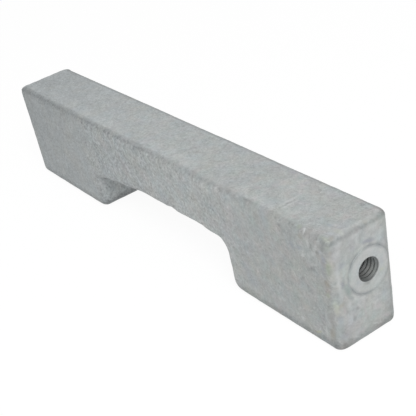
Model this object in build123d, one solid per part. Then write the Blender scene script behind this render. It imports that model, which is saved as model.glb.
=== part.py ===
# Sacrificial anode bar for the stern bracket of an outboard motor.
#
# A cast bar stands on two feet with a clearance notch between them. A threaded steel
# insert is cast into each end, and a bolt through each arm of the bracket holds the bar
# between the arms.
#
# Frame, in millimetres: the origin is on the plane of the feet, at the middle of the
# length and of the width. +X runs along the bar, +Y across it and +Z up to the top face.
from build123d import *

import os
from math import radians, tan

# Casting: the length and width are those of the top, where the bar is largest.
LENGTH = 225.0
WIDTH = 27.7
HEIGHT = 45.8
DRAFT_ANGLE = 0.5  # degrees, on the long sides and in the notch
END_DRAFT_ANGLE = 1.7  # degrees, on the two ends
NOTCH_LENGTH = 97.4  # between the feet, at the notch's mouth
NOTCH_DEPTH = 21.8

# Rounded edges and corners of the casting.
END_EDGE_RADIUS = 3.6
TOP_EDGE_RADIUS = 2.4
FOOT_EDGE_RADIUS = 3.6
NOTCH_MOUTH_RADIUS = 5.0
NOTCH_CORNER_RADIUS = 4.5

# Threaded inserts, one in each end.
INSERT_DIAMETER = 17.8
INSERT_FROM_TOP = 18.5  # from the top face down to the insert's axis
INSERT_OFF_CENTRE = 2.5  # from the mid-plane of the width towards +Y
INSERT_RECESS = 0.3  # from the casting's end in to the insert's face, at its axis
INSERT_CHAMFER = 0.4
WAIST_FROM_FACE = 10.0  # the hexagonal waist that the casting grips
WAIST_LENGTH = 6.0
WAIST_ACROSS_FLATS = 14.5

# Tapped hole of each insert, for a 3/8-16 bolt: its wall is at the minor diameter.
TAP_DIAMETER = 7.94
TAP_DEPTH = 19.0
TAP_FLOOR = 6.0  # from the full bore's end to the back of the insert
COUNTERSINK_DIAMETER = 9.6
DRILL_POINT_ANGLE = 118.0  # degrees, between the two sides of the point

# Worked out from the sizes above.
DRAFT_SLOPE = tan(radians(DRAFT_ANGLE))  # how far a wall leans for each millimetre of height
END_DRAFT_SLOPE = tan(radians(END_DRAFT_ANGLE))
INSERT_LENGTH = TAP_DEPTH + TAP_FLOOR
INSERT_HEIGHT = HEIGHT - INSERT_FROM_TOP
INSERT_FACE = LENGTH / 2 - INSERT_FROM_TOP * END_DRAFT_SLOPE - INSERT_RECESS
DRILL_POINT = TAP_DIAMETER / 2 / tan(radians(DRILL_POINT_ANGLE / 2))
INWARD = (Align.CENTER, Align.CENTER, Align.MAX)
OUTWARD = (Align.CENTER, Align.CENTER, Align.MIN)


def side_profile():
    """The bar seen from its long side: a flat top over two feet and the notch."""
    end_at_feet = LENGTH / 2 - HEIGHT * END_DRAFT_SLOPE
    mouth = NOTCH_LENGTH / 2
    ceiling = mouth - NOTCH_DEPTH * DRAFT_SLOPE
    corners = [
        (LENGTH / 2, HEIGHT, 0),
        (end_at_feet, 0, 0),
        (mouth, 0, NOTCH_MOUTH_RADIUS),
        (ceiling, NOTCH_DEPTH, NOTCH_CORNER_RADIUS),
    ]
    corners += [(-x, z, radius) for x, z, radius in reversed(corners)]
    points = [(x, z) for x, z, radius in corners]
    radii = [radius for x, z, radius in corners]
    return make_face(FilletPolyline(points, radius=radii, close=True))


def cross_profile():
    """The bar seen from its end: a little narrower at the feet."""
    half_at_feet = WIDTH / 2 - HEIGHT * DRAFT_SLOPE
    return Polygon(
        (-WIDTH / 2, HEIGHT),
        (-half_at_feet, 0),
        (half_at_feet, 0),
        (WIDTH / 2, HEIGHT),
        align=None,
    )


def rounded_bar():
    """The cast bar with every outer edge rounded, before the insert pockets."""
    lengthwise = extrude(Plane.XZ * side_profile(), amount=WIDTH, both=True)
    across = extrude(Plane.YZ * cross_profile(), amount=LENGTH, both=True)
    bar = lengthwise & across

    # Only the upright edges of the two ends are taller than the notch is deep.
    end_edges = [edge for edge in bar.edges() if edge.bounding_box().size.Z > NOTCH_DEPTH]
    bar = fillet(end_edges, END_EDGE_RADIUS)

    bar = fillet(bar.faces().sort_by(Axis.Z)[-1].edges(), TOP_EDGE_RADIUS)

    # The rim of each foot runs on round the notch, and the rounding follows it there.
    feet = bar.faces().filter_by(Axis.Z).sort_by(Axis.Z)[:2]
    mouth_line = NOTCH_LENGTH / 2 + NOTCH_MOUTH_RADIUS
    rims = [edge for edge in feet.edges() if abs(edge.center().X) > mouth_line + FOOT_EDGE_RADIUS]
    return fillet(rims, FOOT_EDGE_RADIUS)


def insert_blank():
    """The outer shape of an insert, its face at Z = 0 and its body below.

    The hexagonal waist between its round collars keeps it from turning or pulling out.
    """
    barrel = Cylinder(INSERT_DIAMETER / 2, INSERT_LENGTH, align=INWARD)
    groove = Cylinder(INSERT_DIAMETER, WAIST_LENGTH, align=INWARD)
    hexagon = RegularPolygon(WAIST_ACROSS_FLATS / 2, 6, major_radius=False)
    groove -= extrude(hexagon, amount=-WAIST_LENGTH)
    return barrel - Pos(0, 0, -WAIST_FROM_FACE) * groove


def threaded_insert():
    """One insert: the blank with its chamfered face, tapped hole and countersink."""
    insert = insert_blank()
    rim = insert.edges().filter_by(GeomType.CIRCLE).sort_by(Axis.Z)[-1]
    insert = chamfer(rim, INSERT_CHAMFER)

    bore = TAP_DIAMETER / 2
    mouth = COUNTERSINK_DIAMETER / 2
    half_section = Polyline(
        (0, 0),
        (mouth, 0),
        (bore, bore - mouth),
        (bore, -TAP_DEPTH),
        (0, -TAP_DEPTH - DRILL_POINT),
        close=True,
    )
    return insert - revolve(Plane.XZ * make_face(half_section), Axis.Z)


def at_ends(piece):
    """A piece made with its face at Z = 0, placed in the +X end and mirrored in the other."""
    seat = Plane(origin=(INSERT_FACE, INSERT_OFF_CENTRE, INSERT_HEIGHT), z_dir=(1, 0, 0))
    right = seat * piece
    return right, mirror(right, about=Plane.YZ)


def anode_casting():
    """The rounded bar with a close-fitting pocket for each insert, open at the end face."""
    way_out = Cylinder(INSERT_DIAMETER / 2, END_EDGE_RADIUS, align=OUTWARD)
    right, left = at_ends(insert_blank() + way_out)
    return rounded_bar() - right - left


def export(name, shape):
    shape.label = name
    export_step(shape, os.path.join("parts", name + ".step"))


def main():
    os.makedirs("parts", exist_ok=True)
    export("anode_casting", anode_casting())
    right, left = at_ends(threaded_insert())
    export("threaded_insert_right", right)
    export("threaded_insert_left", left)


main()
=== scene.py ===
# Looks of a sacrificial anode bar: a cast bar on two feet, with a threaded steel bush in each end.
#
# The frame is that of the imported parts: +X along the bar, +Y across it, +Z up, feet at Z = 0.
# Blender works in metres. The sizes below are in millimetres, as the bar is measured.
from math import cos, hypot, pi, radians, tan

import bmesh
import bpy
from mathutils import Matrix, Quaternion, Vector


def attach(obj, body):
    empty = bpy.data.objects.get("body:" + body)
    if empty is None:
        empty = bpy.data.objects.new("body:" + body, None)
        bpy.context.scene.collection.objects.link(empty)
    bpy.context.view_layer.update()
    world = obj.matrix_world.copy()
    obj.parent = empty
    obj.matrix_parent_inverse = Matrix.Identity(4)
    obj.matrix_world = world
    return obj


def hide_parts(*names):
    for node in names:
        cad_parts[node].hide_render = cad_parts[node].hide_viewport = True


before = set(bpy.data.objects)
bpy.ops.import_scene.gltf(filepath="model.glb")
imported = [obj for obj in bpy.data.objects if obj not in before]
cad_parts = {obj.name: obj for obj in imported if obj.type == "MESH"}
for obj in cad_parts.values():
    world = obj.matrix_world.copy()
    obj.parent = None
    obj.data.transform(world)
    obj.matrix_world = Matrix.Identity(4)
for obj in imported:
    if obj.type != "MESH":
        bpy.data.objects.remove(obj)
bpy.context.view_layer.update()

MM = 0.001

# Casting.
HALF_LENGTH = 112.5  # at the top
HALF_WIDTH = 13.85
HEIGHT = 45.8
DRAFT = tan(radians(0.5))  # of the long sides
END_DRAFT = tan(radians(1.7))
CEILING = 21.8  # of the notch
END_EDGE = 3.6  # radius of the upright edges

# Bushes: one axis for both, a hexagonal waist and a 3/8-16 thread.
BUSH_RADIUS = 8.9
BUSH_Y = 2.5
BUSH_Z = 27.3
BUSH_RECESS = 0.3
BUSH_FACE = HALF_LENGTH - (HEIGHT - BUSH_Z) * END_DRAFT - BUSH_RECESS
BUSH_LENGTH = 25.0
BUSH_CHAMFER = 0.05  # what was left of it when the face was ground
WAIST_FROM_FACE = 10.0
WAIST_LENGTH = 6.0
WAIST_ACROSS_FLATS = 14.5
MOUTH_RADIUS = 4.65
MINOR_RADIUS = 3.97
MAJOR_RADIUS = 4.7625
PITCH = 1.5875
BORE_DEPTH = 19.0
POINT_DEPTH = MINOR_RADIUS / tan(radians(59.0))  # of a 118 degree drill

# How this one casting differs from its drawing.
SKIN_LOSS = 0.12  # how far the rough skin lies, on the whole, within the casting's sizes
LEAST_LOSS = 0.01  # where it lies least far within
SLUMP = 5.0  # how far the notch's near edge hangs down at the far foot
SLUMP_START = -9.5  # where along the bar it starts, and where it is deepest
SLUMP_END = -48.0
FOOT_FILL = 0.26  # how much fuller the near foot's rim gets along the bar
REAR_FILL = 0.30  # how much fuller the far end's top edge is

# Making.
VOXEL = 0.62  # edge length of the bar's mesh
POCKET_CLEARANCE = 0.03
POCKET_SIDES = 96
OVERRUN = 4.0  # how far a pocket's cutter reaches past the bar's end
MEETING = 2e-6  # points that are closer than this are one, in metres
SEED = 7.3  # each noise adds a number of its own, so that no two patterns fall together


# Node webs.


class Wire:
    """A value in a node web: an expression on wires adds the Math nodes that work it out."""

    def __init__(self, web, socket):
        self.web = web
        self.socket = socket

    def out(self, name):
        """Another output of the node that this wire comes from."""
        return Wire(self.web, self.socket.node.outputs[name])

    def __add__(self, other):
        return self.web.math("ADD", self, other)

    def __radd__(self, other):
        return self.web.math("ADD", other, self)

    def __sub__(self, other):
        return self.web.math("SUBTRACT", self, other)

    def __rsub__(self, other):
        return self.web.math("SUBTRACT", other, self)

    def __mul__(self, other):
        return self.web.math("MULTIPLY", self, other)

    def __rmul__(self, other):
        return self.web.math("MULTIPLY", other, self)

    def __truediv__(self, other):
        return self.web.math("DIVIDE", self, other)

    def __gt__(self, other):
        return self.web.math("GREATER_THAN", self, other)

    def __neg__(self):
        return self.web.math("MULTIPLY", self, -1.0)

    def __abs__(self):
        return self.web.math("ABSOLUTE", self)


class Web:
    """A shader's or a geometry's node tree, with the few patterns that both are made from."""

    def __init__(self, tree):
        self.tree = tree

    def node(self, kind, settings=None, *values, **sockets):
        """Adds a node: its settings first, then its sockets in order or by identifier or name."""
        made = self.tree.nodes.new(kind)
        for setting, value in (settings or {}).items():
            setattr(made, setting, value)
        open_inputs = [s for s in made.inputs if s.enabled]
        for socket, value in zip(open_inputs, values):
            self._plug(socket, value)
        for name, value in sockets.items():
            found = [s for s in open_inputs if s.name == name.replace("_", " ")]
            found += [s for s in made.inputs if s.identifier == name]
            self._plug(found[0], value)
        outputs = [s for s in made.outputs if s.enabled]
        return Wire(self, outputs[0]) if outputs else None

    def _plug(self, socket, value):
        if isinstance(value, Wire):
            self.tree.links.new(value.socket, socket)
        elif isinstance(value, list):
            for one in value:
                self._plug(socket, one)
        else:
            socket.default_value = value

    def math(self, operation, *values):
        return self.node("ShaderNodeMath", {"operation": operation}, *values)

    def xyz(self, x, y, z):
        return self.node("ShaderNodeCombineXYZ", None, x, y, z)

    def parts(self, vector):
        x = self.node("ShaderNodeSeparateXYZ", None, vector)
        return x, x.out("Y"), x.out("Z")

    def vector(self, operation, *values, **sockets):
        return self.node("ShaderNodeVectorMath", {"operation": operation}, *values, **sockets)

    def in_mm(self, place):
        """A place in metres as one in millimetres."""
        return self.vector("SCALE", place, Scale=1.0 / MM)

    def ramp(self, value, low, high, start=0.0, end=1.0):
        """Rises smoothly from start at low to end at high, and stays there."""
        settings = {"interpolation_type": "SMOOTHSTEP"}
        return self.node("ShaderNodeMapRange", settings, value, low, high, start, end)

    def ramp_line(self, value, low, high, start=0.0, end=1.0):
        """Rises evenly from start at low to end at high, and stays there."""
        return self.node("ShaderNodeMapRange", {"clamp": True}, value, low, high, start, end)

    def at_least(self, value, low):
        return self.math("MAXIMUM", value, low)

    def at_most(self, value, high):
        return self.math("MINIMUM", value, high)

    def within(self, value, low, high, soft):
        """1 between low and high, fading to 0 over soft on both sides."""
        return self.ramp(value, low - soft, low) * self.ramp(value, high, high + soft, 1.0, 0.0)

    def bell(self, value, half_width):
        """1 where the value is 0, falling smoothly to 0 at half_width on both sides."""
        return self.ramp(abs(value), 0.0, half_width, 1.0, 0.0)

    def grain(self, place, size, seed, detail, roughness=0.5):
        """Noise from 0 to 1, with patches of the size given; seed is the noise's own number."""
        return self.node(
            "ShaderNodeTexNoise",
            {"noise_dimensions": "4D"},
            Vector=place,
            W=SEED + seed,
            Scale=1.0 / size,
            Detail=detail,
            Roughness=roughness,
        )

    def noise(self, place, size, seed, detail, roughness=0.5):
        """Soft noise about 0, mostly within -1 and 1."""
        return (self.grain(place, size, seed, detail, roughness) - 0.5) * 4.0

    def warped(self, place, size=1.6, reach=0.35, seed=19.0):
        """A place pushed about by noise, so that what is drawn at it has an uneven outline."""
        colour = self.grain(place, size, seed, 1.0).out("Color")
        offset = self.vector("SUBTRACT", colour, (0.5, 0.5, 0.5))
        return self.vector("ADD", place, self.vector("SCALE", offset, Scale=4.0 * reach))

    def spot(self, place, centre, radii, turn=(0.0, 0.0, 0.0), soft=1.0):
        """1 inside an ellipsoid, fading outwards over the part of its radius that soft gives."""
        turned = self.node(
            "ShaderNodeVectorRotate",
            {"rotation_type": "EULER_XYZ"},
            Vector=self.vector("SUBTRACT", place, centre),
            Rotation=tuple(radians(angle) for angle in turn),
        )
        away = self.vector("LENGTH", self.vector("DIVIDE", turned, radii))
        return self.ramp(away, 1.0 - soft, 1.0, 1.0, 0.0)

    def mix(self, factor, a, b, blend="MIX"):
        settings = {"data_type": "RGBA", "blend_type": blend, "clamp_factor": True}
        colours = {"A_Color": a, "B_Color": b}
        return self.node("ShaderNodeMix", settings, Factor_Float=factor, **colours)


def geometry_web(name, inputs):
    """A Geometry Nodes tree with named inputs: the web, the inputs' wires and identifiers."""
    tree = bpy.data.node_groups.new(name, "GeometryNodeTree")
    tree.interface.new_socket("Geometry", in_out="INPUT", socket_type="NodeSocketGeometry")
    tree.interface.new_socket("Geometry", in_out="OUTPUT", socket_type="NodeSocketGeometry")
    identifiers = {}
    for label, kind in inputs.items():
        socket = tree.interface.new_socket(label, in_out="INPUT", socket_type="NodeSocket" + kind)
        identifiers[label] = socket.identifier
    web = Web(tree)
    entry = tree.nodes.new("NodeGroupInput")
    wires = {socket.name: Wire(web, socket) for socket in entry.outputs if socket.name}
    return web, wires, identifiers


def close_web(web, geometry, material):
    """Ends a tree: instances made real, the material set, and the result sent out."""
    real = web.node("GeometryNodeRealizeInstances", None, geometry)
    dressed = web.node("GeometryNodeSetMaterial", None, real, Material=material)
    web.node("NodeGroupOutput", None, dressed)


def mesh_object(name, mesh):
    made = bpy.data.objects.new(name, mesh)
    bpy.context.scene.collection.objects.link(made)
    return made


def grown(source, web, identifiers, values, name):
    """Runs a tree on an object and returns the result as a plain mesh object of its own."""
    modifier = source.modifiers.new(name, "NODES")
    modifier.node_group = web.tree
    for label, value in values.items():
        modifier[identifiers[label]] = value
    evaluated = source.evaluated_get(bpy.context.evaluated_depsgraph_get())
    mesh = bpy.data.meshes.new_from_object(evaluated)
    source.modifiers.clear()
    bpy.data.objects.remove(source)
    mesh.name = name
    return mesh_object(name, mesh)


# The cast bar.


class TopEdges:
    """Where a place lies on the rounded top edges, in millimetres, for the tree that asks.

    reach grows outwards from where the rounding starts. across is 0 half way round the edge,
    rises towards the top face and falls down the wall. on_edge is 1 on the rounding, end_share
    1 over an end and 0 over a long side, far 1 on the far half, and the rest is noise.
    """

    def __init__(self, web, place):
        x, y, z = web.parts(place)
        below = HEIGHT - z
        past_side = web.at_least(abs(y) + below * DRAFT - (HALF_WIDTH - END_EDGE), 0.0)
        past_end = web.at_least(abs(x) + below * END_DRAFT - (HALF_LENGTH - END_EDGE), 0.0)
        self.reach = web.vector("LENGTH", web.xyz(past_side, past_end, 0.0))
        self.across = END_EDGE - self.reach - below
        near_top = web.ramp(z, HEIGHT - 4.6, HEIGHT - 3.2)
        self.on_edge = web.ramp(self.reach, 0.1, 1.2) * near_top
        self.end_share = past_end / web.at_least(self.reach, 0.05)
        self.side_share = 1.0 - self.end_share
        self.far = web.ramp(y, 2.0, 9.0)
        self.wander = web.noise(place, 11.0, 3.0, 3.0, 0.6) * (1.0 - 0.6 * self.end_share)
        self.ragged = web.noise(place, 1.9, 4.0, 2.0)
        weaker = web.within(x, 62, 95, 8)
        self.strength = 0.85 + 0.5 * web.noise(place, 19.0, 5.0, 1.0) - 0.35 * weaker


def off_axis(web, y, z):
    """How far a place lies from the axis of the bushes."""
    return web.vector("LENGTH", web.xyz(0.0, y - BUSH_Y, z - BUSH_Z))


# Pits in the skin: x, y, z, radius and depth.
PITS = [
    (112.3, -10.7, 19.7, 0.75, 0.45),
    (112.2, -4.4, 15.2, 0.65, 0.40),
    (112.2, -5.9, 11.3, 0.85, 0.50),
    (112.2, -8.8, 16.0, 0.55, 0.30),
    (-50.0, 5.0, 45.8, 0.9, 0.25),
    (-32.0, 3.5, 45.8, 0.8, 0.25),
    (21.0, -1.5, 45.8, 0.9, 0.28),
    (103.0, 10.0, 45.8, 0.9, 0.28),
    (47.0, -13.8, 42.6, 0.9, 0.35),
    (-96.0, -13.6, 26.0, 0.8, 0.25),
]

# Bites out of the near top edge: x, half length along the edge and depth.
BITES = [
    (-3.0, 2.6, 0.28),
    (6.0, 3.4, 0.40),
    (15.5, 2.2, 0.30),
    (22.0, 2.6, 0.42),
    (31.5, 3.6, 0.36),
    (41.0, 2.4, 0.34),
    (52.0, 3.0, 0.26),
]


def solid_blank():
    """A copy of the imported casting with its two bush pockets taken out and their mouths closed."""
    shell = bmesh.new()
    shell.from_mesh(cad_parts["anode_casting"].data)
    bmesh.ops.remove_doubles(shell, verts=shell.verts, dist=MEETING / 2)
    slack = 0.02

    def in_pocket(vertex):
        x, y, z = vertex.co / MM
        away = hypot(y - BUSH_Y, z - BUSH_Z)
        depth = BUSH_FACE - abs(x)
        return away < BUSH_RADIUS + slack and depth < BUSH_LENGTH + slack

    pocket = [face for face in shell.faces if all(in_pocket(v) for v in face.verts)]
    bmesh.ops.delete(shell, geom=pocket, context="FACES")
    rims = [edge for edge in shell.edges if edge.is_boundary]
    bmesh.ops.holes_fill(shell, edges=rims, sides=0)
    bmesh.ops.triangulate(shell, faces=[f for f in shell.faces if len(f.verts) > 4])
    bmesh.ops.recalc_face_normals(shell, faces=shell.faces)
    mesh = bpy.data.meshes.new("blank")
    shell.to_mesh(mesh)
    shell.free()
    return mesh_object("blank", mesh)


def skin_web():
    """The tree that roughens the blank as a casting is rough and cuts the bush pockets."""
    kinds = dict.fromkeys(("Wave depth", "Lump depth", "Lip depth", "Pit depth"), "Float")
    kinds |= {"Pocket radius": "Float", "Material": "Material"}
    web, inputs, identifiers = geometry_web("cast_skin", kinds)
    place = web.in_mm(web.node("GeometryNodeInputPosition"))
    x, y, z = web.parts(place)
    side, end = abs(y), abs(x)

    # Uneven cooling: long shallow waves, then small lumps, which the sanded top has less of.
    sanded = web.ramp(z, HEIGHT - 1.2, HEIGHT - 0.2)
    wave = web.noise(place, 34.0, 1.0, 1.0) * inputs["Wave depth"]
    lumps = web.noise(place, 4.2, 2.0, 2.0) * inputs["Lump depth"] * (1.0 - 0.6 * sanded)

    # The rough line where the mould's lid met it, half way round the top edges.
    edges = TopEdges(web, place)
    line = web.bell(edges.across - 0.9 * edges.wander - 0.2 * edges.side_share, 1.7)
    lip = -line * edges.strength * inputs["Lip depth"] * (1.0 - 0.75 * edges.far)
    lip = (lip + 0.14 * edges.ragged * (1.0 - 0.7 * edges.far)) * edges.on_edge
    bites = 0.0
    for at, half, depth in BITES:
        bite = web.bell(x - at + 0.8 * edges.ragged, half) * web.ramp(y, -9.0, -11.5)
        bites = bites + depth * bite * web.bell(edges.across + 0.2, 2.2)
    lip = lip - bites * edges.on_edge

    # Pits: those that show, and a few more all over.
    pits = 0.0
    for px, py, pz, radius, depth in PITS:
        pits = pits + depth * web.spot(place, (px, py, pz), (radius,) * 3, soft=0.75)
    spacing = 11.0
    cell = web.node(
        "ShaderNodeTexVoronoi",
        {"feature": "F1"},
        Vector=place,
        Scale=1.0 / spacing,
        Randomness=1.0,
    )
    chosen = web.parts(cell.out("Color"))[0] > 0.62
    few = web.ramp(cell * spacing, 0.25, 0.75, 1.0, 0.0) * chosen * (1.0 - sanded)
    pits = (pits + 0.22 * few) * inputs["Pit depth"]

    # Marks of the mould on the ends: its seam, and shallow grooves round each bush.
    from_bush = off_axis(web, y, z)
    end_face = web.ramp(end, HALF_LENGTH - 1.6, HALF_LENGTH - 0.9)
    seam_line = web.bell(y + 1.1 - (z - 6.0) * 0.048, 0.6)
    seam = seam_line * (web.within(z, 5.0, 17.0, 1.5) + web.within(z, 39.0, 44.0, 1.0))
    ring = web.bell(from_bush - 11.0, 0.8) * web.ramp(web.noise(place, 9.0, 6.0, 1.0), -0.5, 0.4)
    rim = web.bell(from_bush - BUSH_RADIUS - 0.3, 0.9)
    marks = end_face * (0.07 * seam - 0.10 * ring - 0.07 * rim)

    # The ends stay flat about the bushes, and nothing stands out beyond the casting's sizes.
    calm = web.ramp(from_bush, 10.0, 13.0, 0.15, 1.0)
    calm = 1.0 - (1.0 - calm) * web.ramp(end, HALF_LENGTH - 6.0, HALF_LENGTH - 4.0)
    height = (wave + lumps) * calm + lip - pits + marks - SKIN_LOSS
    height = web.at_most(height, -LEAST_LOSS)

    # The near foot's lower edge filled the mould better, so it is less round.
    from_rim = END_EDGE - edges.reach + z
    filled = 0.16 * web.ramp(x, 52.0, 62.0) + FOOT_FILL * web.ramp_line(x, 66.0, 100.0)
    height = height + filled * (1.0 - 0.4 * edges.end_share) * web.ramp(from_rim, 2.8, 2.1)

    # The far end's top edge is a little sharper than the others too.
    from_rim = END_EDGE - edges.reach + HEIGHT - z
    height = height + REAR_FILL * web.ramp(from_rim, 1.85, 1.4) * web.ramp(x, -107.0, -110.0)

    # The notch's long edges are wavy where the metal shrank, the near one most of all: hanging
    # is how far that one lies above the ceiling, or below it where it is negative.
    notch_edge = web.within(z, 16.0, CEILING + 1.0, 5.0) * web.ramp(end, 54.0, 50.0)
    notch_edge = notch_edge * web.ramp(side, 8.5, 12.5)
    sag = 0.14 * web.noise(place, 8.5, 8.0, 2.0) + 0.10 * edges.ragged
    hanging = 0.27 * web.ramp(x, 15.0, 30.0) - 0.75 * web.ramp(x, 34.0, 38.0) - 0.40
    hanging = hanging + 0.70 * web.bell(x - 13.5, 5.0)
    sag = (sag + hanging * web.ramp(y, -6.0, -10.0)) * notch_edge

    # Towards the far foot the near edge of the ceiling slumped and runs down into the corner.
    slump = SLUMP * web.ramp_line(x, SLUMP_START, SLUMP_END) * web.ramp(x, -56.0, -51.0)
    slump = slump * web.within(z, 12.0, CEILING + 0.8, 9.0)
    sag = sag - slump * web.ramp(y, -3.5, -9.5)

    push = web.vector("SCALE", web.node("GeometryNodeInputNormal"), Scale=height * MM)
    push = web.vector("ADD", push, web.xyz(0.0, 0.0, sag * MM))
    rough = web.node("GeometryNodeSetPosition", None, inputs["Geometry"], Offset=push)

    # Each pocket is a drum, a hexagon and a drum, as the bush that it grips.
    waist = BUSH_FACE - WAIST_FROM_FACE
    waist_back = waist - WAIST_LENGTH
    corner = WAIST_ACROSS_FLATS / 2 / cos(pi / 6) * MM
    round_pocket = inputs["Pocket radius"] * MM
    overlap = 0.2
    lengths = [
        (POCKET_SIDES, round_pocket, waist, HALF_LENGTH + OVERRUN),
        (6, corner, waist_back - overlap, waist + overlap),
        (POCKET_SIDES, round_pocket, BUSH_FACE - BUSH_LENGTH, waist_back),
    ]
    tools = []
    for sign in (1, -1):
        for sides, radius, start, stop in lengths:
            drum = web.node(
                "GeometryNodeMeshCylinder",
                {"fill_type": "NGON"},
                Vertices=sides,
                Radius=radius,
                Depth=(stop - start) * MM,
            )
            centre = (sign * (start + stop) / 2 * MM, BUSH_Y * MM, BUSH_Z * MM)
            laid = {"Translation": centre, "Rotation": (0.0, pi / 2, 0.0)}
            tools.append(web.node("GeometryNodeTransform", None, drum, **laid))
    cut = web.node(
        "GeometryNodeMeshBoolean",
        {"operation": "DIFFERENCE", "solver": "MANIFOLD"},
        Mesh_1=rough,
        Mesh_2=tools,
    )
    close_web(web, cut, inputs["Material"])
    return web, identifiers


def cast_bar(material):
    blank = solid_blank()
    remesh = blank.modifiers.new("even_skin", "REMESH")
    remesh.mode = "VOXEL"
    remesh.voxel_size = VOXEL * MM
    web, identifiers = skin_web()
    values = {
        "Wave depth": 0.10,
        "Lump depth": 0.07,
        "Lip depth": 0.24,
        "Pit depth": 1.0,
        "Pocket radius": BUSH_RADIUS + POCKET_CLEARANCE,
        "Material": material,
    }
    piece = grown(blank, web, identifiers, values, "cast_bar")
    finish_mesh(piece.data, sharp_angle=40.0)
    return piece


def finish_mesh(mesh, sharp_angle):
    """Closes what meets, turns every face outwards and keeps only the real edges sharp."""
    shell = bmesh.new()
    shell.from_mesh(mesh)
    bmesh.ops.remove_doubles(shell, verts=shell.verts, dist=MEETING)
    bmesh.ops.dissolve_degenerate(shell, edges=shell.edges, dist=MEETING / 2)
    bmesh.ops.recalc_face_normals(shell, faces=shell.faces)
    for face in shell.faces:
        face.smooth = True
    shell.to_mesh(mesh)
    shell.free()
    mesh.set_sharp_from_angle(angle=radians(sharp_angle))


# The threaded bushes.

STEPS_AROUND = 72
STEPS_PER_TURN_OF_THREAD = 16


def bush_section():
    """Half of a bush's section but for the threaded wall: X from the face, Z the radius.

    A point with Y = 1 belongs to the hexagonal waist, whose radius changes round the axis.
    """
    outer = BUSH_RADIUS
    waist = WAIST_ACROSS_FLATS / 2
    groove = WAIST_FROM_FACE + WAIST_LENGTH
    return [
        (0.0, MOUTH_RADIUS, 0),
        (0.0, 0.8 * outer, 0),  # a row of points within the face, to lean with the end
        (0.0, outer - BUSH_CHAMFER, 0),
        (-BUSH_CHAMFER, outer, 0),
        (-WAIST_FROM_FACE, outer, 0),
        (-WAIST_FROM_FACE, waist, 1),
        (-groove, waist, 1),
        (-groove, outer, 0),
        (-BUSH_LENGTH, outer, 0),
        (-BUSH_LENGTH, 0.0, 0),
        (-BORE_DEPTH - POINT_DEPTH, 0.0, 0),
        (-BORE_DEPTH, MINOR_RADIUS, 0),
    ]


def bush_web():
    """The tree that turns a bush from its half section and cuts its thread along a helix."""
    kinds = {
        "Steps round": "Int",
        "Pitch": "Float",
        "Minor radius": "Float",
        "Major radius": "Float",
        "Bore depth": "Float",
        "Mouth radius": "Float",
        "Place": "Vector",
        "Half turn": "Vector",
        "Material": "Material",
    }
    web, inputs, identifiers = geometry_web("turned_bush", kinds)
    columns = inputs["Steps round"] + 1.0

    def wrapped(rows, shape):
        """A grid rolled round the X axis: shape gives x and the radius from turn and row."""
        grid = web.node("GeometryNodeMeshGrid", None, 1.0, 1.0, columns, rows)
        column, row, _ = web.parts(grid.out("UV Map"))
        x, radius = shape(column, row)
        angle = column * (2.0 * pi)
        y, z = radius * web.math("COSINE", angle), radius * web.math("SINE", angle)
        rolled = web.vector("SCALE", web.xyz(x, y, z), Scale=MM)
        return web.node("GeometryNodeSetPosition", None, grid, Position=rolled)

    def outside(column, row):
        last = len(bush_section()) - 1
        nearest = web.math("ROUND", row * float(last))
        point = web.node(
            "GeometryNodeSampleIndex",
            {"data_type": "FLOAT_VECTOR", "domain": "POINT"},
            inputs["Geometry"],
            Value=web.node("GeometryNodeInputPosition"),
            Index=nearest,
        )
        x, hexagonal, radius = web.parts(point)
        sixth = web.math("FRACT", column * 6.0) - 0.5
        corner = web.math("COSINE", sixth * (pi / 3))
        return x, radius * (1.0 - hexagonal + hexagonal / corner)

    def threaded(column, row):
        pitch, depth = inputs["Pitch"], inputs["Bore depth"]
        x = column * pitch - row * (depth + pitch)
        x = web.at_least(web.at_most(x, 0.0), -depth)
        whole_turns = 40.0  # added to keep the turn above 0
        turn = web.math("FRACT", x / pitch - column + whole_turns)
        # Crest, flank, root and flank take 4, 5, 2 and 5 sixteenths of the pitch.
        flank = (abs(turn - 0.625) * 16.0 - 1.0) / 5.0
        cut = web.ramp_line(flank, 0.0, 1.0, 1.0, 0.0)
        # The thread runs out before the bore's end and is worn shallow at its mouth.
        run_out = web.ramp_line(x, -depth + 0.5, -depth + 2.6, 0.0, 1.0)
        run_in = web.ramp_line(x, -0.7, 0.0, 1.0, 0.4)
        full = inputs["Major radius"] - inputs["Minor radius"]
        radius = inputs["Minor radius"] + full * (cut * run_out * run_in)
        return x, web.at_least(radius, inputs["Mouth radius"] + x)

    rows = (inputs["Bore depth"] / inputs["Pitch"] + 1.0) * float(STEPS_PER_TURN_OF_THREAD) + 1.0
    shell = wrapped(len(bush_section()), outside)
    thread = wrapped(rows, threaded)
    joined = web.node("GeometryNodeJoinGeometry", None, [shell, thread])
    closed = web.node("GeometryNodeMergeByDistance", None, joined, Distance=2 * MEETING)
    seat = {"Translation": inputs["Place"], "Rotation": inputs["Half turn"]}
    seated = web.node("GeometryNodeTransform", None, closed, **seat)

    # The face was ground off with the casting's end, so it leans and rounds off as that does.
    x, y, z = web.parts(web.in_mm(web.node("GeometryNodeInputPosition")))
    below = HEIGHT - z
    past = web.at_least(y - (HALF_WIDTH - END_EDGE - below * DRAFT), 0.0)
    left = web.math("SQRT", END_EDGE**2 - past * past)
    surface = HALF_LENGTH - below * END_DRAFT - (END_EDGE - left) - SKIN_LOSS
    near_face = web.ramp_line(abs(x), BUSH_FACE - 3.0, BUSH_FACE - 0.8)
    shift = (surface - BUSH_FACE) * near_face * web.math("SIGN", x) * MM
    ground = web.node("GeometryNodeSetPosition", None, seated, Offset=web.xyz(shift, 0.0, 0.0))
    close_web(web, ground, inputs["Material"])
    return web, identifiers


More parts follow.
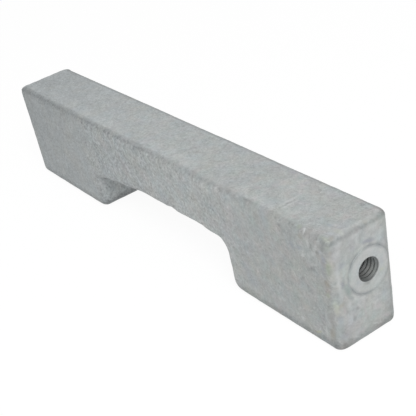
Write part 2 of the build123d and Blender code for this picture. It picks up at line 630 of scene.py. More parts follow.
def threaded_bush(name, sign, web, identifiers, material):
    """One bush in the end that sign gives: 1 for the near end and -1 for the far one."""
    section = bpy.data.meshes.new(name + "_section")
    points = [(x, hexagonal, radius) for x, radius, hexagonal in bush_section()]
    section.from_pydata(points, [(i, i + 1) for i in range(len(points) - 1)], [])
    values = {
        "Steps round": STEPS_AROUND,
        "Pitch": PITCH,
        "Minor radius": MINOR_RADIUS,
        "Major radius": MAJOR_RADIUS,
        "Bore depth": BORE_DEPTH,
        "Mouth radius": MOUTH_RADIUS,
        "Place": (sign * BUSH_FACE * MM, BUSH_Y * MM, BUSH_Z * MM),
        "Half turn": (0.0, 0.0, 0.0 if sign > 0 else pi),
        "Material": material,
    }
    piece = grown(mesh_object(name, section), web, identifiers, values, name)
    finish_mesh(piece.data, sharp_angle=28.0)
    return piece


# Materials.


def blank_material(name):
    material = bpy.data.materials.new(name)
    material.use_nodes = True
    material.node_tree.nodes.clear()
    return material, Web(material.node_tree)


def metal(web, relief, bump_strength, bump_distance, **sockets):
    """Ends a metal's web: the relief as a bump, the shader and the output."""
    settings = {"Strength": bump_strength, "Distance": bump_distance, "Height": relief}
    sockets["Normal"] = web.node("ShaderNodeBump", None, **settings)
    shader = web.node("ShaderNodeBsdfPrincipled", None, **sockets)
    web.node("ShaderNodeOutputMaterial", None, shader)


def grey(value, warmth=0.0):
    """A nearly neutral colour; warmth above 0 is yellower, below 0 bluer."""
    return (value * (0.965 + warmth), value * (1.0 + 0.3 * warmth), value * (1.0 - warmth), 1.0)


PALE = grey(0.56)
DARK = grey(0.22)
DUSKY = grey(0.30, 0.02)
BLUISH = (0.33, 0.36, 0.41, 1.0)
MAUVE = (0.37, 0.37, 0.41, 1.0)
TEAL = (0.38, 0.44, 0.44, 1.0)
DARK_TEAL = (0.29, 0.34, 0.33, 1.0)
DEEP_MAUVE = (0.31, 0.32, 0.36, 1.0)
GREENISH = (0.34, 0.39, 0.30, 1.0)
YELLOWISH = (0.46, 0.48, 0.37, 1.0)
BROWNISH = (0.33, 0.31, 0.27, 1.0)
ROSY = (0.46, 0.42, 0.44, 1.0)
LIGHT_BLUE = (0.49, 0.52, 0.56, 1.0)
LIGHT_TEAL = (0.46, 0.51, 0.50, 1.0)
LIGHT_GREEN = (0.47, 0.50, 0.45, 1.0)

# Stains, bright worn spots, dark hollows, and painted highlights and shade where noted: middle,
# radii, tilt in degrees about the face's own normal, part of the radius that fades, strength
# and colour.
TOP_MARKS = [
    ((81.0, -3.0), (1.20, 6.8), 0, 0.9, 0.80, PALE),
    ((83.3, -4.0), (0.90, 4.6), -4, 0.9, 0.70, PALE),
    ((82.3, -5.0), (0.90, 4.6), 0, 1.0, 0.36, DARK),
    ((83.4, -6.8), (1.20, 1.50), 0, 0.9, 0.75, PALE),
    ((-9.6, -4.6), (0.50, 2.4), 10, 0.9, 0.40, PALE),
    ((99.6, -12.2), (0.70, 1.70), 35, 0.8, 0.75, grey(0.66)),
    ((-50.5, 5.0), (0.9, 1.8), 20, 0.9, 0.32, DARK),
    ((-32.0, 3.6), (1.1, 2.0), -15, 0.9, 0.34, DARK),
    ((-31.5, 5.6), (0.8, 1.0), 0, 0.9, 0.30, DARK),
    ((21.4, -1.2), (1.2, 0.9), 20, 0.9, 0.40, DARK),
    ((51.0, 4.2), (1.6, 1.2), 30, 0.9, 0.26, DARK),
    ((84.0, 7.9), (1.2, 1.0), 0, 0.9, 0.26, DARK),
    ((103.8, 10.4), (2.2, 0.8), 0, 0.9, 0.40, DARK),
    ((56.0, 6.5), (4.0, 3.0), 30, 1.0, 0.10, DUSKY),
    ((-63.0, -2.5), (1.2, 3.0), 10, 1.0, 0.22, DUSKY),
    ((-90.0, -6.8), (3.0, 3.0), 0, 1.0, 0.20, PALE),
    ((-104.0, -9.8), (2.6, 1.6), 0, 1.0, 0.40, PALE),
    ((-52.0, -9.0), (5.0, 2.0), 0, 1.0, 0.18, PALE),
    ((73.0, -8.4), (8.0, 2.0), -6, 1.0, 0.22, PALE),
    ((60.0, 4.6), (1.4, 1.0), 0, 1.0, 0.25, PALE),
    ((111.0, 7.0), (1.5, 3.5), 0, 1.0, 0.25, PALE),
    ((110.5, -5.0), (1.5, 3.5), 0, 1.0, 0.30, PALE),
    ((109.8, -6.0), (3.0, 1.8), 0, 1.0, 0.60, LIGHT_GREEN),
    ((108.5, -8.8), (2.2, 1.4), 20, 1.0, 0.45, LIGHT_BLUE),
    ((109.6, -11.8), (3.6, 1.4), 0, 1.0, 0.35, YELLOWISH),
    ((110.8, -10.2), (1.0, 1.8), 10, 1.0, 0.50, BROWNISH),
    ((96.8, -11.8), (1.8, 1.4), 0, 1.0, 0.45, GREENISH),
    ((104.8, -5.2), (2.0, 1.4), 0, 1.0, 0.40, BLUISH),
    ((66.0, 10.4), (3.6, 1.4), 0, 1.0, 0.42, MAUVE),
    ((71.6, 9.4), (2.4, 1.8), 0, 1.0, 0.45, TEAL),
    ((76.2, 8.4), (1.6, 2.2), -25, 1.0, 0.42, MAUVE),
    ((80.4, 2.2), (2.0, 2.4), 0, 1.0, 0.36, ROSY),
    ((68.0, 0.6), (2.8, 2.0), 0, 1.0, 0.34, ROSY),
    ((64.6, -4.4), (2.6, 1.8), 0, 1.0, 0.34, ROSY),
    ((90.6, 8.0), (3.6, 2.6), 30, 1.0, 0.34, ROSY),
    ((91.4, -9.0), (3.0, 1.6), 0, 1.0, 0.34, ROSY),
    ((79.4, 6.6), (2.4, 2.4), 0, 1.0, 0.34, LIGHT_TEAL),
    ((86.4, -8.0), (3.6, 2.2), 0, 1.0, 0.34, LIGHT_TEAL),
    ((62.0, -9.6), (2.6, 2.4), 0, 1.0, 0.34, LIGHT_TEAL),
    ((68.0, -12.0), (6.0, 0.9), 0, 1.0, 0.45, DARK),
    ((57.4, -12.0), (2.4, 1.2), 0, 1.0, 0.40, DARK),
    ((103.6, 9.6), (1.2, 0.8), -20, 0.9, 0.55, DARK),
    ((106.4, 9.4), (1.6, 0.8), 0, 0.9, 0.35, DARK),
    ((84.4, 7.8), (1.1, 0.7), 0, 0.9, 0.45, DARK),
]
NEAR_SIDE_MARKS = [
    ((109.2, 38.4), (1.5, 2.4), 0, 0.9, 0.60, BLUISH),
    ((108.3, 33.6), (1.4, 5.0), 0, 0.9, 0.42, MAUVE),
    ((110.6, 35.0), (1.1, 4.8), -4, 0.9, 0.85, GREENISH),
    ((110.9, 34.0), (1.0, 3.2), 0, 0.9, 0.62, DARK),
    ((112.0, 37.8), (0.8, 2.2), 0, 0.9, 0.45, BROWNISH),
    ((109.3, 28.8), (1.6, 2.4), 0, 0.9, 0.70, BROWNISH),
    ((109.0, 25.6), (1.5, 1.6), 0, 0.9, 0.45, BROWNISH),
    ((108.6, 24.0), (1.5, 1.3), 0, 0.9, 0.50, GREENISH),
    ((109.6, 43.4), (1.6, 1.9), 0, 0.9, 0.30, DARK),
    ((108.4, 40.9), (1.8, 1.4), 20, 0.9, 0.45, LIGHT_BLUE),
    ((111.6, 20.4), (2.4, 6.0), 0, 1.0, 0.45, LIGHT_GREEN),
    ((112.4, 41.0), (1.4, 4.0), 0, 1.0, 0.50, LIGHT_GREEN),
    ((108.2, 14.0), (1.9, 3.2), 0, 0.9, 0.42, DUSKY),
    ((108.0, 8.0), (1.9, 4.8), -14, 0.9, 0.60, BROWNISH),
    ((104.9, 7.6), (0.9, 4.4), -4, 0.9, 0.55, PALE),
    ((105.9, 15.2), (0.9, 3.4), -10, 0.9, 0.42, PALE),
    ((112.2, 9.0), (1.2, 4.4), 0, 0.9, 0.50, LIGHT_BLUE),
    ((104.6, 13.4), (0.9, 1.5), 0, 0.9, 0.42, DARK),
    ((103.4, 10.4), (1.3, 1.4), 30, 0.9, 0.36, DARK),
    ((92.1, 6.9), (1.5, 1.5), 0, 0.9, 0.85, PALE),
    ((98.6, 35.9), (1.7, 0.9), 30, 0.9, 0.85, PALE),
    ((102.3, 41.6), (1.1, 2.3), 0, 0.9, 0.75, PALE),
    ((106.3, 42.0), (1.2, 2.4), -30, 0.9, 0.70, PALE),
    ((104.6, 38.8), (2.6, 1.1), 25, 0.9, 0.60, PALE),
    ((101.8, 36.6), (1.1, 1.7), 0, 0.9, 0.55, PALE),
    ((103.8, 41.2), (0.8, 2.2), 0, 0.9, 0.50, DARK),
    ((106.6, 40.0), (1.5, 1.1), 20, 0.9, 0.50, DARK),
    ((98.6, 43.2), (2.4, 1.5), 0, 0.9, 0.45, BROWNISH),
    ((88.0, 43.5), (1.3, 1.0), 0, 0.9, 0.45, DARK),
    ((102.4, 31.9), (4.2, 1.2), 30, 1.0, 0.48, DARK),
    ((105.0, 34.6), (2.2, 0.8), 25, 0.9, 0.45, PALE),
    ((93.2, 38.0), (2.5, 2.3), 0, 0.9, 0.42, BLUISH),
    ((97.0, 38.1), (2.7, 1.7), 20, 0.9, 0.45, BLUISH),
    ((98.6, 40.6), (3.2, 1.6), 10, 1.0, 0.42, ROSY),
    ((92.0, 36.4), (1.8, 1.8), 0, 1.0, 0.34, ROSY),
    ((102.6, 25.4), (1.6, 2.8), -20, 1.0, 0.42, TEAL),
    ((95.2, 22.6), (1.6, 2.4), -10, 1.0, 0.36, TEAL),
    ((95.6, 25.2), (3.2, 0.8), 40, 0.9, 0.36, DARK),
    ((100.4, 4.9), (2.6, 0.8), 30, 0.8, 0.70, YELLOWISH),
    ((98.4, 4.1), (2.4, 0.7), 5, 0.8, 0.55, BROWNISH),
    ((101.2, 6.2), (1.6, 0.5), 40, 0.8, 0.55, PALE),
    ((103.4, 4.3), (2.0, 0.9), 20, 0.9, 0.45, DARK),
    ((99.6, 8.8), (2.0, 1.1), 35, 1.0, 0.36, TEAL),
    ((73.0, 5.4), (1.0, 1.6), 0, 0.9, 0.45, PALE),
    ((62.0, 6.8), (5.5, 2.2), 0, 1.0, 0.25, PALE),
    ((92.5, 16.5), (1.2, 1.8), 0, 1.0, 0.28, PALE),
    ((83.0, 30.5), (2.0, 2.0), 0, 1.0, 0.28, PALE),
    ((63.0, 41.0), (0.9, 3.5), -15, 1.0, 0.28, PALE),
    ((59.0, 44.2), (1.6, 1.2), 0, 1.0, 0.35, PALE),
    ((47.2, 46.0), (1.5, 1.3), 0, 0.9, 0.60, DARK),
    ((14.0, 33.0), (1.2, 1.6), 0, 1.0, 0.35, DARK),
    ((-24.5, 27.0), (1.2, 1.4), 0, 1.0, 0.40, PALE),
    ((-16.0, 29.6), (2.2, 1.0), 15, 1.0, 0.35, PALE),
    ((-52.8, 27.0), (1.1, 2.0), -15, 0.9, 0.45, PALE),
    # A painted highlight along the upright rim of the notch's wall.
    ((-49.4, 12.0), (1.0, 5.0), 0, 0.9, 0.55, PALE),
    ((-72.0, 31.8), (3.4, 0.7), 8, 0.9, 0.34, DARK),
    ((-60.0, 32.2), (3.6, 0.7), -20, 0.9, 0.28, DARK),
    ((-89.0, 18.6), (1.2, 1.4), 0, 0.9, 0.38, DARK),
    ((-77.0, 27.0), (1.0, 2.2), -15, 1.0, 0.28, PALE),
    ((-52.5, 9.0), (1.0, 3.0), -10, 1.0, 0.30, DUSKY),
    ((-20.5, 20.5), (5.0, 2.0), 28, 1.0, 0.35, DARK),
]
NEAR_END_MARKS = [
    ((-10.6, 19.6), (1.6, 1.5), 0, 0.9, 0.62, BROWNISH),
    ((-4.4, 15.0), (1.3, 1.2), 0, 0.9, 0.42, DARK),
    ((-5.8, 11.5), (1.4, 1.5), 20, 0.9, 0.50, DARK),
    ((-8.7, 15.7), (1.3, 1.1), 0, 0.9, 0.25, DARK),
    ((-11.5, 13.6), (1.7, 3.4), 0, 1.0, 0.42, BLUISH),
    ((-10.8, 6.5), (3.0, 2.0), 0, 1.0, 0.22, BLUISH),
    ((0.8, 39.4), (1.6, 1.4), 0, 0.9, 0.45, TEAL),
    ((3.7, 38.0), (4.4, 1.1), -15, 1.0, 0.85, DEEP_MAUVE),
    ((-9.4, 27.2), (1.4, 2.2), 14, 1.0, 0.70, DEEP_MAUVE),
    ((-6.4, 26.2), (0.9, 2.2), -10, 0.9, 0.40, MAUVE),
    ((-8.6, 34.6), (2.6, 1.6), -20, 1.0, 0.45, DEEP_MAUVE),
    ((-8.0, 31.2), (1.2, 3.6), 0, 0.9, 0.55, LIGHT_TEAL),
    ((-7.2, 23.6), (1.7, 4.2), 18, 1.0, 0.90, DARK_TEAL),
    ((-3.4, 38.6), (2.4, 1.6), 0, 1.0, 0.34, MAUVE),
    ((-5.6, 41.6), (3.0, 1.6), 0, 1.0, 0.30, LIGHT_TEAL),
    ((-10.4, 39.8), (2.2, 1.6), 0, 1.0, 0.42, PALE),
    ((-12.4, 35.0), (1.4, 8.0), 0, 1.0, 0.25, YELLOWISH),
    ((-12.6, 19.0), (1.6, 5.0), 0, 1.0, 0.45, YELLOWISH),
    ((-13.2, 43.0), (1.8, 2.6), 0, 1.0, 0.55, GREENISH),
    ((-12.2, 41.0), (1.2, 1.4), 0, 1.0, 0.45, BROWNISH),
    # A painted highlight along the near upright edge's rounding.
    ((-10.6, 27.0), (1.3, 13.0), 0, 1.0, 0.45, PALE),
    ((-9.6, 17.4), (1.0, 2.8), 0, 1.0, 0.40, ROSY),
    ((-7.2, 17.6), (1.2, 2.6), 15, 1.0, 0.40, PALE),
    ((5.8, 42.4), (5.0, 2.0), 0, 1.0, 0.34, PALE),
    ((8.8, 38.6), (2.2, 2.6), 0, 1.0, 0.34, PALE),
    ((9.6, 41.0), (1.2, 1.0), 0, 1.0, 0.30, BLUISH),
    ((-3.0, 43.0), (2.6, 1.2), 0, 1.0, 0.30, PALE),
    ((-9.0, 42.6), (2.0, 1.4), 0, 1.0, 0.28, PALE),
    ((-13.0, 7.0), (1.2, 3.2), 0, 1.0, 0.42, PALE),
    ((4.6, 11.0), (2.6, 2.4), 0, 1.0, 0.40, ROSY),
    ((8.0, 5.4), (2.4, 1.6), -20, 1.0, 0.40, ROSY),
    ((-3.6, 4.8), (2.8, 1.5), 0, 1.0, 0.36, ROSY),
    ((2.4, 7.8), (3.0, 1.6), 15, 1.0, 0.34, TEAL),
    ((8.2, 14.8), (2.6, 2.0), 0, 1.0, 0.28, BLUISH),
    ((-0.9, 12.0), (0.8, 6.5), 2, 1.0, 0.36, ROSY),
    ((-0.1, 9.0), (0.8, 3.4), 2, 1.0, 0.34, DUSKY),
    ((-0.2, 16.0), (0.8, 2.0), 2, 1.0, 0.40, DUSKY),
    ((0.2, 41.0), (0.8, 3.4), -3, 1.0, 0.38, DUSKY),
    ((3.2, 4.4), (2.2, 0.6), -35, 0.9, 0.50, PALE),
    ((5.2, 3.8), (1.8, 0.5), -35, 0.9, 0.40, PALE),
    ((-5.4, 3.6), (2.2, 0.6), -30, 0.9, 0.36, PALE),
    ((-8.4, 4.2), (2.0, 0.6), -30, 0.9, 0.36, DARK),
    ((-7.0, 6.6), (2.4, 0.7), -15, 1.0, 0.30, DUSKY),
    # Painted shade along the far upright edge's rounding.
    ((11.0, 24.0), (0.9, 22.0), 0, 1.0, 0.50, DUSKY),
    ((9.4, 23.4), (0.6, 2.4), 10, 1.0, 0.40, TEAL),
    ((4.0, 45.2), (3.0, 0.9), 0, 0.9, 0.45, BROWNISH),
    ((-4.0, 45.2), (3.0, 0.8), 0, 0.9, 0.30, DUSKY),
]

# Painted shade on the near top corner, over the lamp's highlight there: middle, radii and strength.
CORNER_SHADE = [
    ((111.5, -13.0, 42.5), (6.0, 5.0, 7.0), 0.14),
    ((111.9, -12.3, 45.0), (2.4, 2.4, 2.4), 0.30),
]


def marked(web, colour, face, marks):
    """Lays marks over a colour: face turns a mark's two numbers into a spot on that face."""
    for middle, radii, tilt, soft, strength, paint in marks:
        colour = web.mix(strength * face(middle, radii, tilt, soft), colour, paint)
    return colour


def cast_alloy():
    """Dull light grey alloy as it leaves the mould, its top sanded flat."""
    material, web = blank_material("cast_alloy")
    place = web.in_mm(web.node("ShaderNodeTexCoord").out("Object"))
    x, y, z = web.parts(place)
    end = abs(x)
    top = web.ramp(z, HEIGHT - 0.9, HEIGHT - 0.35)
    end_face = web.ramp(end, HALF_LENGTH - 2.6, HALF_LENGTH - 1.4)

    # Grain at every size that shows: speckle, mottle, wandering fine lines and broad patches.
    speckle = web.noise(place, 0.42, 11.0, 1.0)
    grain = web.noise(place, 0.95, 12.0, 1.0)
    mottle = web.noise(place, 2.1, 13.0, 1.0)
    worms = web.bell(web.noise(place, 2.6, 14.0, 1.0), 0.30)
    blotches = web.noise(place, 5.5, 15.0, 2.0)
    patches = web.noise(place, 23.0, 16.0, 2.0)
    middle_side = web.within(x, -45.0, 48.0, 14.0) * (1.0 - top) * (1.0 - end_face)
    fine = web.ramp_line(x, -110.0, 110.0, 1.45, 0.75) * (1.0 - 0.40 * end_face)
    shade = 1.0 + 0.12 * fine * speckle + 0.12 * fine * grain * (1.0 + 1.0 * middle_side)
    shade = shade + 0.085 * mottle * (1.0 + 0.5 * middle_side + 0.2 * end_face)
    shade = shade + 0.07 * (worms - 0.25) * (1.0 - 0.6 * top) * (1.0 - 0.6 * end_face)
    shade = shade + 0.055 * blotches * (1.0 + 1.1 * end_face) + 0.030 * patches

    # The rounded top edges weren't sanded: they are darker, with a ragged line along them.
    # The darkening is also painted shade, which dims the lamp's highlight on the rounding.
    edges = TopEdges(web, place)
    side_share, end_share = edges.side_share, edges.end_share
    uneven = edges.across + 0.45 * edges.ragged + 0.5 * edges.wander
    band = web.bell(uneven - 0.5, 4.0) * edges.on_edge
    line = web.bell(edges.across - 0.9 * edges.wander + 0.5 * edges.ragged, 1.6) * edges.on_edge
    end_line = web.bell(edges.across + 1.0 + 0.4 * edges.ragged, 1.5) * edges.on_edge
    end_band = web.bell(edges.across + 0.2 + 0.3 * edges.ragged, 2.8) * edges.on_edge
    along = web.ramp_line(x, -50.0, 75.0, 0.23, 0.14)
    edge_skin_and_shade = side_share * (band * along + 0.07 * line * edges.strength)
    edge_skin_and_shade = edge_skin_and_shade * (1.0 - 0.5 * edges.far) + end_share * (0.14 * end_line + 0.22 * end_band)
    shade = shade * (1.0 - edge_skin_and_shade)
    # A darker line along the far top edge.
    far_line = web.bell(y - 11.9 + 0.25 * edges.ragged, 0.9)
    far_line = far_line * web.ramp(z, HEIGHT - 1.6, HEIGHT - 0.8)
    shade = shade * (1.0 - 0.20 * far_line * web.ramp(edges.strength, 0.2, 0.8))

    # A dark line along the upright edges, and beside it painted shade that dims the lamp's
    # highlight on their rounding. Painted shade on the rounded lower edges and low on the ends,
    # darker towards the ends' long edges, and painted shading in the notch: a shadow low down,
    # over a notch a little lighter overall.
    below = HEIGHT - z
    from_side = HALF_WIDTH - abs(y) - below * DRAFT
    from_end = HALF_LENGTH - end - below * END_DRAFT
    corner = from_side - from_end
    upright = web.bell(corner + 2.0 + 0.3 * edges.ragged, 2.6) * web.ramp(from_side, 2.2, 1.2)
    rounding = web.bell(corner - 1.8, 2.4) * web.ramp(from_end, 1.8, 0.9)
    rounding = rounding * web.ramp(z, 26.0, 8.0, 0.4, 1.0)
    lower = web.ramp(z + 0.3 * edges.ragged, 5.8, 2.6)
    low_end = web.ramp(z, 13.0, 4.5) * end_face
    near_edge = web.ramp(abs(y), 6.0, 9.5) * end_face
    # The painted shadow over the lower part of the notch's walls.
    in_notch = web.ramp(end, 52.0, 49.4) * web.ramp(z, CEILING + 1.0, CEILING - 1.0)
    notch_shadow = web.ramp(z + 0.95 * y, 9.0, 3.0)
    grime_and_painted_shade = 0.13 * upright + 0.10 * rounding + 0.24 * lower + 0.07 * low_end + 0.045 * near_edge
    grime_and_painted_shade = grime_and_painted_shade + in_notch * (0.18 * notch_shadow + 0.06 * web.ramp(z, 6.0, 2.0) - 0.05)
    shade = shade * (1.0 - grime_and_painted_shade)

    # Painted shade: the near top corner is the darkest, and the far end darker than the near one,
    # as less of the lamp's light reaches it.
    for middle, radii, much in CORNER_SHADE:
        shade = shade * (1.0 - much * web.spot(place, middle, radii))
    shade = shade * web.ramp(x, -112.0, -20.0, 0.88, 1.0)
    # The long sides a little darker, then lighter between x 8 and 44, and in a band below the top
    # edge towards the near end.
    shade = shade * (1.0 - 0.03 * (1.0 - top) * (1.0 - end_face))
    shade = shade + 0.08 * web.within(x, 8.0, 44.0, 24.0) * (1.0 - top)
    under_edge = web.ramp(z, 33.0, 40.0) * web.ramp(x, 30.0, 60.0) * (1.0 - top) * (1.0 - end_face)
    shade = shade + 0.035 * under_edge

    # The worn strip of the top beside the near edge is brighter.
    worn = web.ramp(y, -4.0, -6.5) * web.ramp(y, -11.8, -10.5, 0.0, 1.0) * top
    worn = worn * (web.within(x, -98, -25, 10) + web.within(x, 2, 30, 6) + web.within(x, 60, 92, 6))
    shade = shade + 0.045 * worn

    # The skin is cooler in some patches and warmer in others, and warmer towards the near end.
    warm = web.ramp(web.noise(place, 8.0, 17.0, 2.0) + 0.006 * x, -1.0, 1.0)
    skin = web.mix(warm, (0.405, 0.433, 0.441, 1.0), (0.423, 0.439, 0.431, 1.0))
    colour = web.mix(1.0, skin, tinted(web, place, shade), "MULTIPLY")

    # A bluish grey line round each bush, and parts of a wider one: a tint, and a painted shadow of
    # the step down to the bush's face and of the groove round it.
    colour = web.mix(0.9 * (ring_line(web, place, BUSH_LINE) * end_face), colour, RING_GREY)
    colour = web.mix(0.70 * ring_line(web, place, OUTER_LINE) * end_face, colour, RING_GREY)

    # Single marks, each on its own face.
    uneven_place = web.warped(place)
    into = 2.5  # how far a mark reaches into the metal

    def on_top(middle, radii, tilt, soft):
        centre = (middle[0], middle[1], HEIGHT)
        return web.spot(uneven_place, centre, (*radii, into), (0, 0, -tilt), soft)

    def on_near_side(middle, radii, tilt, soft):
        centre = (middle[0], -HALF_WIDTH + (HEIGHT - middle[1]) * DRAFT, middle[1])
        return web.spot(uneven_place, centre, (radii[0], into, radii[1]), (0, tilt, 0), soft)

    def on_near_end(middle, radii, tilt, soft):
        centre = (HALF_LENGTH - (HEIGHT - middle[1]) * END_DRAFT, *middle)
        return web.spot(uneven_place, centre, (into, *radii), (-tilt, 0, 0), soft)

    colour = marked(web, colour, on_top, TOP_MARKS)
    colour = marked(web, colour, on_near_side, NEAR_SIDE_MARKS)
    colour = marked(web, colour, on_near_end, NEAR_END_MARKS)

    roughness = 0.60 + 0.04 * mottle - 0.05 * top
    relief = (0.5 * mottle + 0.5 * grain + 0.3 * speckle + 0.5 * worms) * (1.0 - 0.5 * end_face)
    metal(web, relief, 0.8, 0.15 * MM, Base_Color=colour, Metallic=0.5, Roughness=roughness)
    return material


RING_GREY = (0.215, 0.238, 0.250, 1.0)

# Where the lines round a bush show most: y, z and radius.
BUSH_LINE_DARKEST = [
    (-4.6, 33.4, 4.8),
    (4.0, 36.4, 4.6),
    (8.6, 34.0, 3.6),
    (-5.6, 23.0, 2.6),
    (-2.6, 19.6, 4.4),
    (1.6, 18.4, 3.2),
]
OUTER_LINE_DARKEST = [
    (3.6, 38.3, 4.4),
    (-9.0, 27.4, 3.0),
    (-6.6, 20.6, 3.4),
    (-1.2, 37.4, 2.2),
]
# The bluish line where a bush meets the casting, partly the painted shadow of the step down to
# the bush's face, and parts of a wider one, partly the painted shadow of the groove left by the
# tool that faced the end: radius, half width, how far it wobbles, the noise's own number, how
# strongly it shows all round, and where it is darkest.
BUSH_LINE = (BUSH_RADIUS, 1.35, 0.14, 20.0, 0.20, BUSH_LINE_DARKEST)
OUTER_LINE = (11.2, 1.25, 0.25, 26.0, 0.04, OUTER_LINE_DARKEST)


def ring_line(web, place, line):
    """A bluish line round a bush, partly painted shadow: 1 where it is darkest."""
    radius, half_width, wobble, number, all_round, darkest_parts = line
    x, y, z = web.parts(place)
    off_line = off_axis(web, y, z) - radius + wobble * web.noise(place, 2.4, number, 1.0)
    shown = all_round + 0.22 * web.noise(place, 3.2, 18.0, 1.0)
    for at_y, at_z, part_radius in darkest_parts:
        away = web.vector("LENGTH", web.xyz(0.0, y - at_y, z - at_z))
        shown = shown + 0.55 * web.ramp(away, 0.0, part_radius, 1.0, 0.0)
    return web.bell(off_line, half_width) * web.at_least(shown, 0.0)


def tinted(web, place, shade):
    """A number as a grey that is a little redder or bluer from patch to patch."""
    x, y, z = web.parts(place)
    much = web.ramp(x, -80.0, -20.0, 0.3, 1.0) + web.ramp(x, 30.0, 90.0, 0.0, 0.4)
    red = 1.0 + 0.036 * much * web.noise(place, 4.2, 24.0, 1.0)
    blue = 1.0 + 0.020 * much * web.noise(place, 6.0, 25.0, 1.0)
    return web.node("ShaderNodeCombineColor", None, shade * red, shade, shade * blue)


# Patches on the near bush's face, as the marks on the casting.
BUSH_MARKS = [
    ((-3.6, 30.0), (1.9, 4.4), -20, 1.0, 0.30, (0.55, 0.53, 0.52, 1.0)),
    ((3.6, 34.4), (5.0, 1.7), -15, 1.0, 0.30, PALE),
    ((8.2, 27.4), (1.6, 3.4), 0, 1.0, 0.28, BLUISH),
    ((8.0, 24.4), (1.7, 1.3), 0, 1.0, 0.38, YELLOWISH),
    ((0.8, 20.6), (3.0, 1.4), 0, 1.0, 0.30, TEAL),
    ((-2.6, 24.6), (1.6, 1.8), 0, 1.0, 0.22, BLUISH),
    # A painted shadow below the mouth's lower rim.
    ((1.2, 22.6), (3.2, 1.5), 12, 1.0, 0.75, DUSKY),
    ((6.4, 21.4), (2.6, 1.0), 25, 1.0, 0.26, PALE),
]


def turned_steel():
    """Plain steel, dull on the face with faint rings from the tool; painted shade down the thread,
    with painted light in its roots.
    """
    material, web = blank_material("turned_steel")
    place = web.in_mm(web.node("ShaderNodeTexCoord").out("Object"))
    x, y, z = web.parts(place)
    radius = off_axis(web, y, z)
    around = web.noise(web.xyz(radius, 0.0, 0.0), 0.35, 21.0, 2.0)
    mottle = web.noise(place, 1.6, 22.0, 3.0)
    blotches = web.noise(place, 4.4, 27.0, 2.0)
    shade = 1.0 + 0.02 * around + 0.045 * mottle + 0.05 * blotches
    shade = shade + 0.07 * web.noise(place, 0.8, 23.0, 1.0)
    # Painted shade inside the bore, deeper further in, painted light in the thread's roots against
    # their own shade, and a painted shadow over the lower, near part of the mouth.
    inside = web.ramp(radius, MOUTH_RADIUS + 0.05, MOUTH_RADIUS - 0.20)
    inside = web.at_least(inside, web.ramp(abs(x), BUSH_FACE - 0.4, BUSH_FACE - 0.7))
    painted_root_light = web.ramp(radius, MINOR_RADIUS + 0.1, MAJOR_RADIUS - 0.1)
    painted_root_light = painted_root_light * web.ramp(abs(x), BUSH_FACE - 0.6, BUSH_FACE - 1.2)
    deep = web.ramp(abs(x), BUSH_FACE - 0.2, BUSH_FACE - 8.0) * inside
    shade = shade * (1.0 - 0.60 * inside) * (1.0 - 0.20 * deep) * (1.0 + 0.7 * painted_root_light)
    low = web.ramp((y - BUSH_Y) * 0.75 + (z - BUSH_Z) * 0.65, 2.0, -4.0)
    shade = shade * (1.0 - 0.50 * low * inside)
    colour = web.mix(1.0, (0.455, 0.475, 0.470, 1.0), tinted(web, place, shade), "MULTIPLY")

    uneven_place = web.warped(place)
    into = 2.0

    def on_face(middle, radii, tilt, soft):
        return web.spot(uneven_place, (BUSH_FACE, *middle), (into, *radii), (-tilt, 0, 0), soft)

    dressed = marked(web, colour, on_face, BUSH_MARKS)
    colour = web.mix(inside, dressed, colour)
    # The bluish line round the bush, partly the painted shadow of its step.
    line = 0.9 * ring_line(web, place, BUSH_LINE) * (1.0 - inside)
    colour = web.mix(line, colour, RING_GREY)
    relief = 0.4 * around * (1.0 - inside) + 0.6 * mottle
    metallic, roughness = 0.5 - 0.2 * inside, 0.60 + 0.05 * mottle
    metal(web, relief, 0.4, 0.08 * MM, Base_Color=colour, Metallic=metallic, Roughness=roughness)
    return material


# Stage, light and camera.

WHITE = (1.0, 1.0, 1.0, 1.0)
FLOOR_GREY = (0.65, 0.65, 0.65, 1.0)
FLOOR_REACH = 3.0  # metres from the middle
FLOOR_GLOW = 1.08
FLOOR_GLOWING = 0.85  # the rest of what the camera sees is lit, and keeps a faint shadow
WORLD_SEEN = 1.0
WORLD_LIGHT = 0.45

# A large soft lamp to the right of the camera and above it, in metres.
LAMP_PLACE = (1.5, -0.7, 1.3)
LAMP_AIM = (0.02, 0.0, 0.02)
LAMP_SIZE = 1.2
LAMP_POWER = 33.0  # watts

# The camera, fitted to the outline in the photo, in metres.
CAMERA_PLACE = (0.34317, -0.18360, 0.22411)
CAMERA_AIM = (0.00944, 0.00540, 0.01282)
CAMERA_ROLL = -12.079  # degrees
CAMERA_LENS = 91.802  # millimetres, as the sensor
CAMERA_SENSOR = 36.0
CAMERA_NEAR = 0.01


def seen_directly(web):
    """1 for what the camera sees, straight or by a mirror or glass."""
    path = web.node("ShaderNodeLightPath")
    glossy, through = path.out("Is Glossy Ray"), path.out("Is Transmission Ray")
    return web.at_most(path.out("Is Camera Ray") + glossy + through, 1.0)


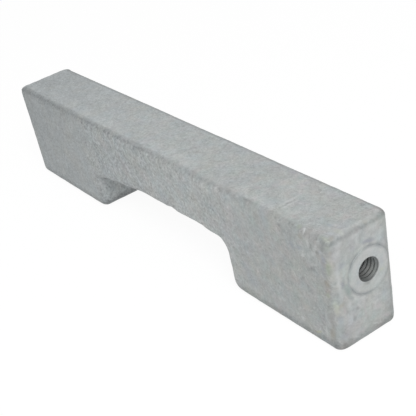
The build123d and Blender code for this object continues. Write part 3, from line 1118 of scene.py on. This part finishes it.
def white_floor():
    """A pale floor that stays white where it is lit, and clear from below."""
    mesh = bpy.data.meshes.new("floor")
    ways = [(-1, -1), (1, -1), (1, 1), (-1, 1)]
    corners = [(x * FLOOR_REACH, y * FLOOR_REACH, 0.0) for x, y in ways]
    mesh.from_pydata(corners, [], [(0, 1, 2, 3)])
    floor = mesh_object("floor", mesh)
    material, web = blank_material("pale_floor")
    lit = web.node("ShaderNodeBsdfDiffuse", None, Color=FLOOR_GREY)
    white = web.node("ShaderNodeEmission", None, Color=WHITE, Strength=FLOOR_GLOW)
    share = seen_directly(web) * FLOOR_GLOWING
    held = web.node("ShaderNodeMixShader", None, share, lit, white)
    behind = web.node("ShaderNodeNewGeometry").out("Backfacing")
    clear = web.node("ShaderNodeBsdfTransparent")
    surface = web.node("ShaderNodeMixShader", None, behind, held, clear)
    web.node("ShaderNodeOutputMaterial", None, surface)
    mesh.materials.append(material)
    return floor


def white_world():
    world = bpy.data.worlds.new("studio")
    bpy.context.scene.world = world
    world.use_nodes = True
    world.node_tree.nodes.clear()
    web = Web(world.node_tree)
    direct = seen_directly(web)
    strength = direct * WORLD_SEEN + (1.0 - direct) * WORLD_LIGHT
    web.node("ShaderNodeOutputWorld", None, web.node("ShaderNodeBackground", None, WHITE, strength))


def aimed(made, place, aim, roll=0.0):
    """Puts a lamp or a camera in the scene, turned to look at aim."""
    towards = (Vector(aim) - Vector(place)).to_track_quat("-Z", "Y")
    made.location = place
    made.rotation_mode = "QUATERNION"
    made.rotation_quaternion = towards @ Quaternion((0.0, 0.0, 1.0), radians(roll))
    bpy.context.scene.collection.objects.link(made)


def soft_lamp():
    data = bpy.data.lights.new("key", "AREA")
    data.shape = "DISK"
    data.size = LAMP_SIZE
    data.energy = LAMP_POWER
    aimed(bpy.data.objects.new("key", data), LAMP_PLACE, LAMP_AIM)


def camera():
    data = bpy.data.cameras.new("camera")
    data.sensor_width = CAMERA_SENSOR
    data.lens = CAMERA_LENS
    data.clip_start = CAMERA_NEAR
    made = bpy.data.objects.new("camera", data)
    aimed(made, CAMERA_PLACE, CAMERA_AIM, CAMERA_ROLL)
    bpy.context.scene.camera = made


# Put together.

alloy = cast_alloy()
steel = turned_steel()

bar = cast_bar(alloy)
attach(bar, "root")
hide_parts("anode_casting")

bush_tree, bush_inputs = bush_web()
for side_name, sign in (("right", 1), ("left", -1)):
    bush = threaded_bush("threaded_bush_" + side_name, sign, bush_tree, bush_inputs, steel)
    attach(bush, "root")
    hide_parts("threaded_insert_" + side_name)

white_floor()
white_world()
soft_lamp()
camera()
bpy.context.scene.view_settings.view_transform = "Standard"
